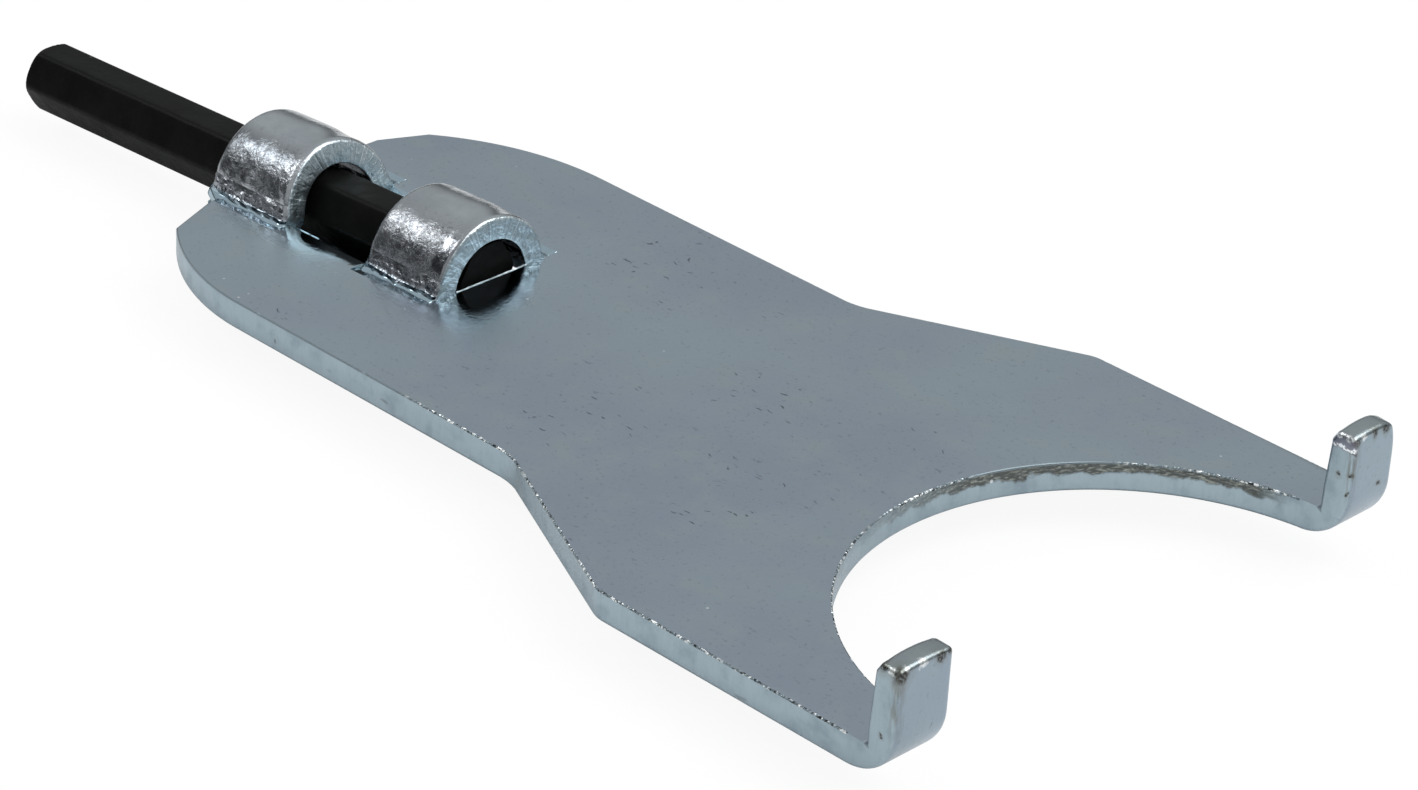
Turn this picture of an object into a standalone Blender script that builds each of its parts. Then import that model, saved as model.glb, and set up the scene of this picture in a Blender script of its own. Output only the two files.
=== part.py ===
# Stamped hydrant wrench: a zinc-plated steel fork spanner that carries a black hex bar.
# The plate lies level, the fork points to +X and the bar's free end to -X. In plan the
# origin is the middle of the whole tool, and z = 0 is the underside of the formed trough.
import math

import bmesh
import bpy
from mathutils import Vector

# Blank, laid out from the centre of the fork's arc
plate_thickness = 0.00476
blank_width = 0.1016
body_width = 0.0700
fork_radius = 0.0416
fork_to_shoulder = 0.0525
fork_to_waist = 0.0860
fork_to_tail = 0.1724
waist_fillet = 0.0100
tail_flat_width = 0.0340
tail_sweep = 0.0036
left_corner_reach = 0.0247
left_tail_radius = 0.0440
right_corner_reach = 0.0266
right_tail_radius = 0.0380
sheared_edge_radius = 0.0004

# Lugs, bent up at the fork's tips
lug_height = 0.0174
lug_front = 0.0014
lug_outside_radius = 0.0080
lug_tip_radius = 0.0008
left_lug_width = 0.0094
right_lug_width = 0.0102

# Formed passage from the mouth back: front loop, trough, and rear loop past the tail edge
fork_to_mouth = 0.1266
front_loop_length = 0.0156
trough_length = 0.0168
tongue_length = 0.0039
loop_necking = 0.0024
passage_radius = 0.0070
loop_centre_height = 0.0039
passage_offset = -0.0014
passage_skew = math.radians(2.3)
formed_wall = 0.0040
foot_radius = 0.0020

# Hex bar
bar_across_flats = 0.0100
bar_length = 0.0990
bar_droop = math.radians(1.4)
bar_edge_cut = 0.0003
bar_end_chamfer = 0.0011
bar_clearance = 0.0003
bar_stop_gap = 0.0008

# Facets
outline_arc_step = math.radians(4)
formed_arc_step = math.radians(8)

# Derived layout
mid_height = plate_thickness / 2
bar_corner_radius = bar_across_flats / math.sqrt(3)
bar_run = bar_length * math.cos(passage_skew) * math.cos(bar_droop)
fork_centre_x = (fork_to_mouth + bar_stop_gap + bar_run - lug_front) / 2
mouth_x = fork_centre_x - fork_to_mouth
front_slit_x = mouth_x - front_loop_length
rear_slit_x = front_slit_x - trough_length
tail_x = fork_centre_x - fork_to_tail
lug_front_x = fork_centre_x + lug_front
bend_start_x = lug_front_x - lug_outside_radius

# The bar hangs between two points: its front end is close under the front loop's crown, and
# its lower corners lie on the trough's rear lip, which sets how deep the trough is pressed.
bar_front_x = mouth_x - bar_stop_gap
corner_depth = math.sqrt((passage_radius - bar_clearance) ** 2 - (bar_corner_radius / 2) ** 2)
bar_front_height = loop_centre_height + corner_depth - bar_across_flats / 2
bar_lip_height = bar_front_height - (bar_front_x - rear_slit_x) * math.tan(bar_droop)
trough_centre_height = bar_lip_height + corner_depth - bar_across_flats / 2
plate_base_z = passage_radius + formed_wall - trough_centre_height


def clear_scene():
    for existing in list(bpy.data.objects):
        bpy.data.objects.remove(existing, do_unlink=True)


def make_material(name, colour, roughness, metallic):
    material = bpy.data.materials.new(name)
    material.use_nodes = True
    shader = material.node_tree.nodes["Principled BSDF"]
    shader.inputs["Base Color"].default_value = (*colour, 1.0)
    shader.inputs["Roughness"].default_value = roughness
    shader.inputs["Metallic"].default_value = metallic
    return material


def add_object(name, builder):
    mesh = bpy.data.meshes.new(name)
    builder.to_mesh(mesh)
    builder.free()
    made = bpy.data.objects.new(name, mesh)
    bpy.context.collection.objects.link(made)
    return made


def make_guide(target):
    target.hide_render = True
    target.display_type = "WIRE"
    return target


def sharp_edges(builder):
    builder.normal_update()
    return [edge for edge in builder.edges if edge.calc_face_angle(0.0) > math.radians(60)]


def combine(target, tool, operation):
    modifier = target.modifiers.new(tool.name, "BOOLEAN")
    modifier.object = tool
    modifier.operation = operation
    modifier.solver = "EXACT"


def passage_y(x):
    # The passage was formed slightly askew to the blank, so its axis drifts in y along x.
    return passage_offset + (x - (mouth_x + front_slit_x) / 2) * math.tan(passage_skew)


def arc_points(centre, radius, start, end, step):
    count = max(2, round(abs(end - start) / step))
    angles = [start + (end - start) * index / count for index in range(count + 1)]
    return [(centre[0] + radius * math.cos(a), centre[1] + radius * math.sin(a)) for a in angles]


def fillet(before, corner, after, radius):
    # Points of the tangent arc that replaces one corner of an outline.
    corner = Vector(corner)
    back = (Vector(before) - corner).normalized()
    ahead = (Vector(after) - corner).normalized()
    half_angle = back.angle(ahead) / 2
    centre = corner + (back + ahead).normalized() * radius / math.sin(half_angle)
    start = corner + back * radius / math.tan(half_angle) - centre
    end = corner + ahead * radius / math.tan(half_angle) - centre
    start_angle = math.atan2(start.y, start.x)
    sweep = math.remainder(math.atan2(end.y, end.x) - start_angle, math.tau)
    return arc_points(centre, radius, start_angle, start_angle + sweep, outline_arc_step)


def half_outline(tail_radius, corner_reach):
    # One side of the blank at +Y, from the middle of the fork's arc round to the tail.
    tip_angle = math.acos((bend_start_x - fork_centre_x) / fork_radius)
    points = arc_points((fork_centre_x, 0), fork_radius, math.pi, tip_angle, outline_arc_step)
    shoulder = (fork_centre_x - fork_to_shoulder, blank_width / 2)
    waist = (fork_centre_x - fork_to_waist, body_width / 2)
    corner = (tail_x + tail_sweep, corner_reach)
    curve_y = body_width / 2 - tail_radius
    corner_angle = math.asin((corner[1] - curve_y) / tail_radius)
    curve_x = corner[0] + tail_radius * math.cos(corner_angle)
    curve = arc_points((curve_x, curve_y), tail_radius,
                       math.pi / 2, math.pi - corner_angle, outline_arc_step)
    points += [(bend_start_x, blank_width / 2), shoulder]
    points += fillet(shoulder, waist, curve[0], waist_fillet)
    points += curve + [(tail_x, tail_flat_width / 2)]
    return points


def lug_stations(side, lug_width):
    # Corners of the arm's section on its way round the bend and up the lug: the outside
    # keeps a generous radius while the inside folds sharp, so the corner is drawn thinner.
    inside_radius = lug_outside_radius - plate_thickness
    bend_z = plate_base_z + lug_outside_radius
    steps = 2 * max(2, round(math.pi / 4 / formed_arc_step))
    turns = [math.pi / 2 * index / steps for index in range(1, steps + 1)]
    start_y = math.sqrt(fork_radius ** 2 - (bend_start_x - fork_centre_x) ** 2)
    tip_y = blank_width / 2 - lug_width
    sections = []
    for turn in turns:
        ray = (math.sin(turn), -math.cos(turn))
        reach = inside_radius / max(ray[0], -ray[1])
        outer = (bend_start_x + lug_outside_radius * ray[0], bend_z + lug_outside_radius * ray[1])
        inner = (bend_start_x + reach * ray[0], bend_z + reach * ray[1])
        sections.append((outer, inner, start_y + (tip_y - start_y) * math.sin(turn)))
    tip_z = plate_base_z + lug_height
    sections.append(((lug_front_x, tip_z), (lug_front_x - plate_thickness, tip_z), tip_y))
    return [[(outer[0], side * inner_y, outer[1]), (outer[0], side * blank_width / 2, outer[1]),
             (inner[0], side * blank_width / 2, inner[1]), (inner[0], side * inner_y, inner[1])]
            for outer, inner, inner_y in sections]


def raise_lug(builder, side, lug_width):
    arm_end = next(face for face in builder.faces
                   if face.normal.x > 0.9 and face.calc_center_median().y * side > fork_radius)
    base_z = plate_base_z + mid_height
    ring = sorted(arm_end.verts, key=lambda vert: (vert.co.z > base_z,
                  abs(vert.co.y) if vert.co.z < base_z else -abs(vert.co.y)))
    builder.faces.remove(arm_end)
    for section in lug_stations(side, lug_width):
        following = [builder.verts.new(point) for point in section]
        for index in range(4):
            near, far = index, (index + 1) % 4
            builder.faces.new((ring[near], ring[far], following[far], following[near]))
        ring = following
    return builder.faces.new(ring)


def build_blank():
    left = half_outline(left_tail_radius, left_corner_reach)
    right_side = half_outline(right_tail_radius, right_corner_reach)
    right = [(x, -y) for x, y in reversed(right_side[1:])]
    builder = bmesh.new()
    base = builder.faces.new([builder.verts.new((x, y, plate_base_z)) for x, y in left + right])
    raised = bmesh.ops.extrude_face_region(builder, geom=[base])
    top = [item for item in raised["geom"] if isinstance(item, bmesh.types.BMVert)]
    bmesh.ops.translate(builder, verts=top, vec=(0, 0, plate_thickness))
    bmesh.ops.recalc_face_normals(builder, faces=builder.faces)
    tips = [raise_lug(builder, 1, left_lug_width), raise_lug(builder, -1, right_lug_width)]
    bmesh.ops.recalc_face_normals(builder, faces=builder.faces)
    tip_edges = [edge for tip in tips for edge in tip.edges]
    bmesh.ops.bevel(builder, geom=tip_edges, offset=lug_tip_radius, segments=2, profile=0.5,
                    affect="EDGES", clamp_overlap=True)
    bmesh.ops.bevel(builder, geom=sharp_edges(builder), offset=sheared_edge_radius, segments=1,
                    affect="EDGES", clamp_overlap=True)
    return add_object("spanner_plate", builder)


def arch_rise(direction):
    # Height of a formed strip's arch centre over the plate's mid-plane, the way it is pressed.
    centre_height = loop_centre_height if direction > 0 else trough_centre_height
    return (centre_height - mid_height) * direction


def formed_reach(direction):
    # How far from the passage's axis a formed strip's foot bend runs out into the flat plate.
    bend_radius = mid_height + foot_radius
    centre_distance = passage_radius + formed_wall / 2 + bend_radius
    return math.sqrt(centre_distance ** 2 - (bend_radius - arch_rise(direction)) ** 2)


def formed_section(direction, tail_y):
    # Section of a strip pressed up (direction 1) or down (-1), as pairs of surface points:
    # flat tail, foot bend, round arch, foot bend, flat tail. Heights are from the mid-plane.
    arch_radius = passage_radius + formed_wall / 2
    arch_height = arch_rise(direction)
    bend_radius = mid_height + foot_radius
    bend_y = formed_reach(direction)
    tangent = math.atan2(arch_height - bend_radius, bend_y)
    bend_count = max(3, round((tangent + math.pi / 2) / formed_arc_step))
    arch_count = max(6, round((math.pi + 2 * tangent) / formed_arc_step))
    bend = [(-tail_y, 0.0, math.pi / 2, mid_height)]
    for index in range(bend_count):
        share = index / bend_count
        angle = -math.pi / 2 + share * (tangent + math.pi / 2)
        bend.append((-bend_y + bend_radius * math.cos(angle),
                     bend_radius + bend_radius * math.sin(angle),
                     angle + math.pi, mid_height + share * (formed_wall / 2 - mid_height)))
    arch = []
    for index in range(arch_count + 1):
        angle = math.pi + tangent - (math.pi + 2 * tangent) * index / arch_count
        arch.append((arch_radius * math.cos(angle), arch_height + arch_radius * math.sin(angle),
                     angle, formed_wall / 2))
    path = bend + arch + [(-y, z, math.pi - normal, half) for y, z, normal, half in reversed(bend)]
    return [tuple((y + sign * half * math.cos(normal),
                   direction * (z + sign * half * math.sin(normal))) for sign in (1, -1))
            for y, z, normal, half in path]


def build_strip(name, direction, rear_x, front_x, tail_y, tongue=0.0, necking=0.0):
    # A tongue lets the strip run out past the tail edge, and necking is how much shorter the
    # stretched crown is at its front edge.
    crown = loop_centre_height + passage_radius + formed_wall - plate_thickness
    reach = formed_reach(direction)
    builder = bmesh.new()
    rings = []
    for is_front in (False, True):
        ring = []
        for pair in formed_section(direction, tail_y):
            verts = []
            for y, z in pair:
                rise = max(0.0, min(1.0, (z - mid_height) / crown))
                inboard = max(0.0, min(1.0, (reach - abs(y)) / foot_radius))
                x = front_x - necking * rise if is_front else rear_x - tongue * inboard
                verts.append(builder.verts.new((x, y + passage_y(x), plate_base_z + mid_height + z)))
            ring.append(verts)
        rings.append(ring)
    rear, front = rings
    for index in range(len(rear) - 1):
        for ring in rings:
            builder.faces.new((ring[index][0], ring[index + 1][0], ring[index + 1][1], ring[index][1]))
        for surface in (0, 1):
            builder.faces.new((rear[index][surface], rear[index + 1][surface],
                               front[index + 1][surface], front[index][surface]))
    for end in (0, -1):
        builder.faces.new((rear[end][0], rear[end][1], front[end][1], front[end][0]))
    bmesh.ops.recalc_face_normals(builder, faces=builder.faces)
    return make_guide(add_object(name, builder))


def build_window(half_width):
    # Room in the blank for the formed strips, from behind the tail to the mouth.
    builder = bmesh.new()
    bmesh.ops.create_cube(builder, size=1.0)
    for vert in builder.verts:
        vert.co.x = mouth_x if vert.co.x > 0 else tail_x - plate_thickness
        vert.co.y = passage_y(vert.co.x) + math.copysign(half_width, vert.co.y)
        vert.co.z = plate_base_z + mid_height + math.copysign(plate_thickness, vert.co.z)
    return make_guide(add_object("passage_window", builder))


def build_spanner_plate(material):
    plate = build_blank()
    plate.data.materials.append(material)
    window_width = formed_reach(1) + foot_radius / 4
    combine(plate, build_window(window_width), "DIFFERENCE")
    strip_width = window_width + foot_radius / 4
    strips = [
        build_strip("front_loop", 1, front_slit_x, mouth_x, strip_width),
        build_strip("trough", -1, rear_slit_x, front_slit_x, strip_width),
        build_strip("rear_loop", 1, tail_x, rear_slit_x, strip_width, tongue_length, loop_necking),
    ]
    for strip in strips:
        combine(plate, strip, "UNION")
    return plate


def build_hex_bar(material):
    # Two flats face up and down, and a corner points to each side. Each corner is a narrow
    # flat, and each end tapers to a smaller section over the chamfer.
    half_length = bar_length / 2
    end_scale = 1 - bar_end_chamfer / (bar_across_flats / 2)
    section = []
    for corner in range(6):
        for side in (-1, 1):
            along = bar_corner_radius - bar_edge_cut * math.sin(math.pi / 6)
            across = side * bar_edge_cut * math.cos(math.pi / 6)
            angle = math.pi / 3 * corner
            section.append((along * math.cos(angle) - across * math.sin(angle),
                            along * math.sin(angle) + across * math.cos(angle)))
    builder = bmesh.new()
    rings = []
    for x, size in ((-half_length, end_scale), (bar_end_chamfer - half_length, 1.0),
                    (half_length - bar_end_chamfer, 1.0), (half_length, end_scale)):
        rings.append([builder.verts.new((x, y * size, z * size)) for y, z in section])
    for near, far in zip(rings, rings[1:]):
        for index in range(-1, len(section) - 1):
            builder.faces.new((near[index], near[index + 1], far[index + 1], far[index]))
    builder.faces.new(rings[0])
    builder.faces.new(rings[-1])
    bmesh.ops.recalc_face_normals(builder, faces=builder.faces)
    bar = add_object("hex_bar", builder)
    bar.data.materials.append(material)
    centre_x = bar_front_x - bar_run / 2
    centre_height = bar_front_height - bar_run / 2 * math.tan(bar_droop)
    bar.location = (centre_x, passage_y(centre_x), plate_base_z + centre_height)
    bar.rotation_euler = (0, -bar_droop, passage_skew)
    return bar


clear_scene()
zinc = make_material("clear zinc plating", (0.42, 0.46, 0.48), 0.34, 1.0)
oxide = make_material("black oxide", (0.022, 0.025, 0.022), 0.45, 0.6)
build_spanner_plate(zinc)
build_hex_bar(oxide)
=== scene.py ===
import math

import bmesh
import bpy
from bmesh.types import BMEdge, BMFace, BMVert
from mathutils import Matrix, Vector, noise


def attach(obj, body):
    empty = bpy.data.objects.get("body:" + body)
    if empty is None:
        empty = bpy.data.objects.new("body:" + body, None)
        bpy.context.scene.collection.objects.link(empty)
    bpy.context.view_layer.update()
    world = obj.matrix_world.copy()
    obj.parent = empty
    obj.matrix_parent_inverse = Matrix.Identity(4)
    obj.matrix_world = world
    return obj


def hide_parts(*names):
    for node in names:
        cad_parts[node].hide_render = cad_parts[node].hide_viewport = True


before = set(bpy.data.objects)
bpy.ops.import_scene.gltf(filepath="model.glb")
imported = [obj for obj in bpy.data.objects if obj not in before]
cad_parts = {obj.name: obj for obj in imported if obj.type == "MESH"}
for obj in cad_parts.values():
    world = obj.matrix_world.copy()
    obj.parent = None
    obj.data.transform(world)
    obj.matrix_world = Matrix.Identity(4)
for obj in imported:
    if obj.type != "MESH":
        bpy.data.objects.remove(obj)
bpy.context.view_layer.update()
print("frame loaded")

# All lengths in metres. The mouth, the slits and the tail are measured back from the fork's middle
layout = {
    "forkX": 0.1124454,
    "plateBase": 0.0057799,
    "plateThick": 0.00476,
    "lugFront": 0.0014,
    "mouth": 0.1266,
    "frontSlit": 0.1422,
    "rearSlit": 0.1590,
    "tail": 0.1724,
    "skew": math.radians(2.3),
    "passageOffset": -0.0014,
}
plateTop = layout["plateBase"] + layout["plateThick"]
mouthX = layout["forkX"] - layout["mouth"]
frontSlitX = layout["forkX"] - layout["frontSlit"]
rearSlitX = layout["forkX"] - layout["rearSlit"]
tailX = layout["forkX"] - layout["tail"]


def passageY(x):
    return layout["passageOffset"] + (x - (mouthX + frontSlitX) / 2) * math.tan(layout["skew"])


# Camera, light, floor
cameraSetup = {
    "place": (0.33157658, -0.44044790, 0.33684320),
    "right": (0.70785403, 0.70437973, 0.05283811),
    "up": (-0.37390483, 0.31018258, 0.87406061),
    "lens": 122.15,
}


def makeCamera():
    right = Vector(cameraSetup["right"]).normalized()
    up = Vector(cameraSetup["up"]).normalized()
    back = right.cross(up)
    place = Vector(cameraSetup["place"]) + Vector((layout["forkX"], 0, layout["plateBase"]))
    lens = bpy.data.cameras.new("photoCamera")
    lens.sensor_width = 36
    lens.lens = cameraSetup["lens"]
    lens.clip_start = 0.02
    lens.clip_end = 20
    camera = bpy.data.objects.new("photoCamera", lens)
    bpy.context.scene.collection.objects.link(camera)
    turn = Matrix((right, up, back)).transposed().to_4x4()
    camera.matrix_world = Matrix.Translation(place) @ turn
    bpy.context.scene.camera = camera


def newMaterial(name):
    material = bpy.data.materials.new(name)
    material.use_nodes = True
    tree = material.node_tree
    return material, tree, tree.nodes["Principled BSDF"]


def addNode(tree, kind, settings=None):
    node = tree.nodes.new("ShaderNode" + kind)
    for socket, value in (settings or {}).items():
        node.inputs[socket].default_value = value
    return node


def link(tree, output, target):
    tree.links.new(output, target)


def finishPiece(name, shape, materials):
    mesh = bpy.data.meshes.new(name)
    shape.normal_update()
    shape.to_mesh(mesh)
    shape.free()
    piece = bpy.data.objects.new(name, mesh)
    bpy.context.scene.collection.objects.link(piece)
    for material in materials:
        mesh.materials.append(material)
    return piece


stageSetup = {
    "floorSize": 6.0,
    "floorColour": (0.88, 0.88, 0.88),
    "floorRoughness": 0.9,
    "shadowShare": 0.08,
}


def makeStage():
    material, tree, shader = newMaterial("pale floor")
    shader.inputs["Base Color"].default_value = (*stageSetup["floorColour"], 1)
    shader.inputs["Roughness"].default_value = stageSetup["floorRoughness"]
    glow = addNode(tree, "Emission", {"Color": (1, 1, 1, 1)})
    # The camera sees the floor almost white, with little of the tool's shadow
    rays = addNode(tree, "LightPath")
    share = times(tree, rays.outputs["Is Camera Ray"], 1 - stageSetup["shadowShare"])
    blend = addNode(tree, "MixShader")
    link(tree, share, blend.inputs[0])
    link(tree, shader.outputs[0], blend.inputs[1])
    link(tree, glow.outputs[0], blend.inputs[2])
    link(tree, blend.outputs[0], tree.nodes["Material Output"].inputs["Surface"])
    shape = bmesh.new()
    bmesh.ops.create_grid(shape, x_segments=1, y_segments=1, size=stageSetup["floorSize"] / 2)
    finishPiece("paleFloor", shape, [material])


lightSetup = {
    # The tent's colours from the horizon up, each with its height
    "tent": ((0.08, (0.13, 0.135, 0.14)), (0.36, (0.60, 0.615, 0.625)), (0.85, (0.74, 0.75, 0.76))),
    "softbox": {"aim": (-0.599, -0.365, 0.712), "distance": 1.3, "size": 0.34, "power": 3.0},
    "fill": {"aim": (0.45, 0.35, 0.82), "distance": 1.6, "size": 1.2, "power": 17.0},
    "blackCard": {"aim": (-0.60, -0.69, 0.38), "core": 10, "rim": 19, "share": 0.93,
                  "colour": (0.01, 0.01, 0.012)},
}


def makeSoftbox(name, setup):
    lamp = bpy.data.lights.new(name, "AREA")
    lamp.shape = "SQUARE"
    lamp.size = setup["size"]
    lamp.energy = setup["power"]
    holder = bpy.data.objects.new(name, lamp)
    bpy.context.scene.collection.objects.link(holder)
    aim = Vector(setup["aim"]).normalized()
    holder.location = aim * setup["distance"]
    holder.rotation_euler = aim.to_track_quat("Z", "Y").to_euler()


def makeLight():
    world = bpy.data.worlds.new("softTent")
    bpy.context.scene.world = world
    world.use_nodes = True
    tree = world.node_tree
    place = addNode(tree, "TexCoord")
    ramp = addNode(tree, "ValToRGB")
    stops = ramp.color_ramp.elements
    stops.new(0.5)
    for stop, (height, colour) in zip(stops, lightSetup["tent"]):
        stop.position = height
        stop.color = (*colour, 1)
    link(tree, along(tree, place.outputs["Generated"], "Z"), ramp.inputs[0])
    # A black card stands beside the softbox and gives the loops their dark flanks
    card = lightSetup["blackCard"]
    facing = addNode(tree, "VectorMath", {1: Vector(card["aim"]).normalized()})
    facing.operation = "DOT_PRODUCT"
    link(tree, place.outputs["Generated"], facing.inputs[0])
    rim, core = (math.cos(math.radians(card[part])) for part in ("rim", "core"))
    behind = window(tree, facing.outputs["Value"], rim, core, 0, card["share"])
    tent = tint(tree, behind, ramp.outputs[0], card["colour"])
    link(tree, tent, tree.nodes["Background"].inputs["Color"])
    tree.nodes["Background"].inputs["Strength"].default_value = 1.0
    makeSoftbox("keySoftbox", lightSetup["softbox"])
    makeSoftbox("fillSoftbox", lightSetup["fill"])


# Small helpers for materials
def feed(tree, value, socket):
    # A plain number or colour goes into the socket itself, and anything else is linked to it
    if isinstance(value, tuple):
        socket.default_value = (*value, 1)
    elif isinstance(value, (int, float)):
        socket.default_value = value
    else:
        link(tree, value, socket)


def objectPlace(tree, scale=(1, 1, 1), turn=(0, 0, 0), shift=(0, 0, 0)):
    place = addNode(tree, "TexCoord")
    mapping = addNode(tree, "Mapping", {"Scale": scale, "Rotation": turn, "Location": shift})
    link(tree, place.outputs["Object"], mapping.inputs["Vector"])
    return mapping.outputs["Vector"]


def along(tree, vector, axis):
    split = addNode(tree, "SeparateXYZ")
    link(tree, vector, split.inputs[0])
    return split.outputs[axis]


def cloudy(tree, vector, scale, detail=3.0, rough=0.55, twist=0.0):
    settings = {"Scale": scale, "Detail": detail, "Roughness": rough, "Distortion": twist}
    clouds = addNode(tree, "TexNoise", settings)
    link(tree, vector, clouds.inputs["Vector"])
    return clouds.outputs["Fac"]


def window(tree, value, low, high, bottom=0.0, top=1.0):
    settings = {"From Min": low, "From Max": high, "To Min": bottom, "To Max": top}
    span = addNode(tree, "MapRange", settings)
    link(tree, value, span.inputs["Value"])
    return span.outputs["Result"]


def calc(tree, kind, first, second=0.0):
    node = addNode(tree, "Math")
    node.operation = kind
    feed(tree, first, node.inputs[0])
    feed(tree, second, node.inputs[1])
    return node.outputs[0]


def times(tree, first, *others):
    for other in others:
        first = calc(tree, "MULTIPLY", first, other)
    return first


def tint(tree, share, under, over):
    mix = addNode(tree, "Mix")
    mix.data_type = "RGBA"
    feed(tree, share, mix.inputs[0])
    colours = [socket for socket in mix.inputs if socket.type == "RGBA"]
    feed(tree, under, colours[0])
    feed(tree, over, colours[1])
    return next(socket for socket in mix.outputs if socket.type == "RGBA")


def stain(tree, colour, over, share, strength):
    return tint(tree, times(tree, share, strength), colour, over)


def relief(tree, height, distance, below=None):
    bump = addNode(tree, "Bump", {"Strength": 1.0, "Distance": distance})
    link(tree, height, bump.inputs["Height"])
    if below:
        link(tree, below, bump.inputs["Normal"])
    return bump.outputs["Normal"]


def specks(tree, vector, scale, size, keep):
    # Scattered dots: 1 inside a dot, for the share of cells that keep gives
    cells = addNode(tree, "TexVoronoi", {"Scale": scale})
    link(tree, vector, cells.inputs["Vector"])
    draw = addNode(tree, "SeparateColor")
    link(tree, cells.outputs["Color"], draw.inputs[0])
    chosen = calc(tree, "LESS_THAN", draw.outputs[0], keep)
    return times(tree, chosen, window(tree, cells.outputs["Distance"], size, size / 2))


def farFrom(tree, vector, place):
    reach = addNode(tree, "VectorMath", {1: place})
    reach.operation = "DISTANCE"
    link(tree, vector, reach.inputs[0])
    return reach.outputs["Value"]


def wobbly(tree, vector, scale, amount):
    # The place moved about by noise, for ragged outlines
    clouds = addNode(tree, "TexNoise", {"Scale": scale, "Detail": 3})
    link(tree, vector, clouds.inputs["Vector"])
    centred = addNode(tree, "VectorMath", {1: (0.5, 0.5, 0.5)})
    centred.operation = "SUBTRACT"
    link(tree, clouds.outputs["Color"], centred.inputs[0])
    moved = addNode(tree, "VectorMath", {1: (amount, amount, amount)})
    moved.operation = "MULTIPLY_ADD"
    link(tree, centred.outputs[0], moved.inputs[0])
    link(tree, vector, moved.inputs[2])
    return moved.outputs[0]


def finishSurface(tree, shader, colour, metallic, roughness, normal):
    link(tree, colour, shader.inputs["Base Color"])
    shader.inputs["Metallic"].default_value = metallic
    feed(tree, roughness, shader.inputs["Roughness"])
    link(tree, normal, shader.inputs["Normal"])


makeCamera()
makeStage()
makeLight()
bpy.context.scene.view_settings.view_transform = "Standard"
print("camera, floor and light set")


# Finishes
zincFinish = {
    "plain": (0.328, 0.398, 0.442),
    "cloud": (0.300, 0.352, 0.418),
    "warm": (0.335, 0.398, 0.402),
    "scratch": (0.075, 0.085, 0.10),
    "fleck": (0.75, 0.78, 0.78),
    "stretched": (0.14, 0.20, 0.24),
    "foldShade": (0.045, 0.055, 0.07),
    "roughness": (0.27, 0.33),
    # Nicks: direction in degrees, stretch, scale, size, share of the cells
    "nicks": ((62, 4, 270, 0.20, 0.30), (15, 3, 330, 0.16, 0.22), (-40, 5, 190, 0.11, 0.12)),
}
# The press tool leaves the plate shinier round the passage
burnished = {"reach": 0.0165, "reachFade": 0.005, "front": 0.0105, "frontFade": 0.006, "roughness": 0.09}
# Knocks on the lugs: place and radius in millimetres
lugKnocks = {
    "dark": (
        ((113.8, -50.4, 22.7), 1.5),
        ((113.9, -43.0, 22.6), 0.9),
        ((113.9, -41.2, 22.9), 0.6),
        ((110.8, -50.7, 22.9), 1.0),
        ((111.4, -50.9, 13.0), 0.35),
        ((113.8, 41.8, 22.4), 0.8),
        ((113.8, 41.6, 20.9), 0.6),
        ((113.6, 41.4, 17.4), 0.45),
        ((113.4, 41.4, 14.2), 0.35),
        ((111.6, 41.2, 17.0), 0.5),
        ((113.8, 46.0, 22.9), 0.8),
        ((113.8, 48.4, 22.6), 0.8),
        ((113.9, 47.9, 14.2), 0.4),
    ),
    "bright": (
        ((113.5, -49.0, 23.1), 0.5),
        ((113.7, -46.4, 23.1), 0.9),
        ((112.2, -50.8, 22.9), 0.6),
        ((113.8, 43.6, 22.9), 0.7),
    ),
}
knockFinish = {
    "dark": (0.035, 0.033, 0.030),
    "bright": (0.80, 0.83, 0.82),
    "halo": (0.17, 0.165, 0.135),
    "haloShare": 0.42,
    "burr": (0.82, 0.86, 0.88),
    "burrHeights": (0.0212, 0.0229),
    # Each pair gives where a mark fades out and where it is full
    "burrSide": ((0.0390, 0.0395), (0.0422, 0.0417)),
    "burrStainFrom": (0.0206, 0.0209),
    "burrStain": (0.17, 0.165, 0.21),
    "burrStainShare": 0.75,
    "worn": (0.26, 0.275, 0.235),
    "wornFrom": (0.0226, 0.0233),
    "wornShare": 0.4,
    "rubbed": (0.15, 0.145, 0.12),
    "rubbedShare": 0.65,
    "rubbedEdges": (-0.0506, 0.0416),
    "rubbedSquash": 0.22,
}


def nearPassage(tree, plain):
    # 1 beside the loops and in front of the mouth, fading to 0 on the open plate
    lane = objectPlace(tree, (1, 1, 0), (0, 0, -layout["skew"]))
    across = calc(tree, "SUBTRACT", along(tree, lane, "Y"), layout["passageOffset"])
    reach = burnished["reach"]
    beside = window(tree, calc(tree, "ABSOLUTE", across), reach, reach - burnished["reachFade"])
    frontEnd = mouthX + burnished["front"]
    ahead = window(tree, along(tree, lane, "X"), frontEnd, frontEnd - burnished["frontFade"])
    uneven = window(tree, cloudy(tree, plain, 300, 2), 0.3, 0.6, 0.75, 1)
    return times(tree, beside, ahead, uneven)


def knockShare(tree, vector, tone, outer, inner):
    # 1 within inner radii of a knock's middle, fading to 0 at outer radii
    share = 0.0
    for place, size in lugKnocks[tone]:
        gap = farFrom(tree, vector, tuple(value / 1000 for value in place))
        radius = size / 1000
        share = calc(tree, "MAXIMUM", window(tree, gap, radius * outer, radius * inner), share)
    return share


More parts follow.
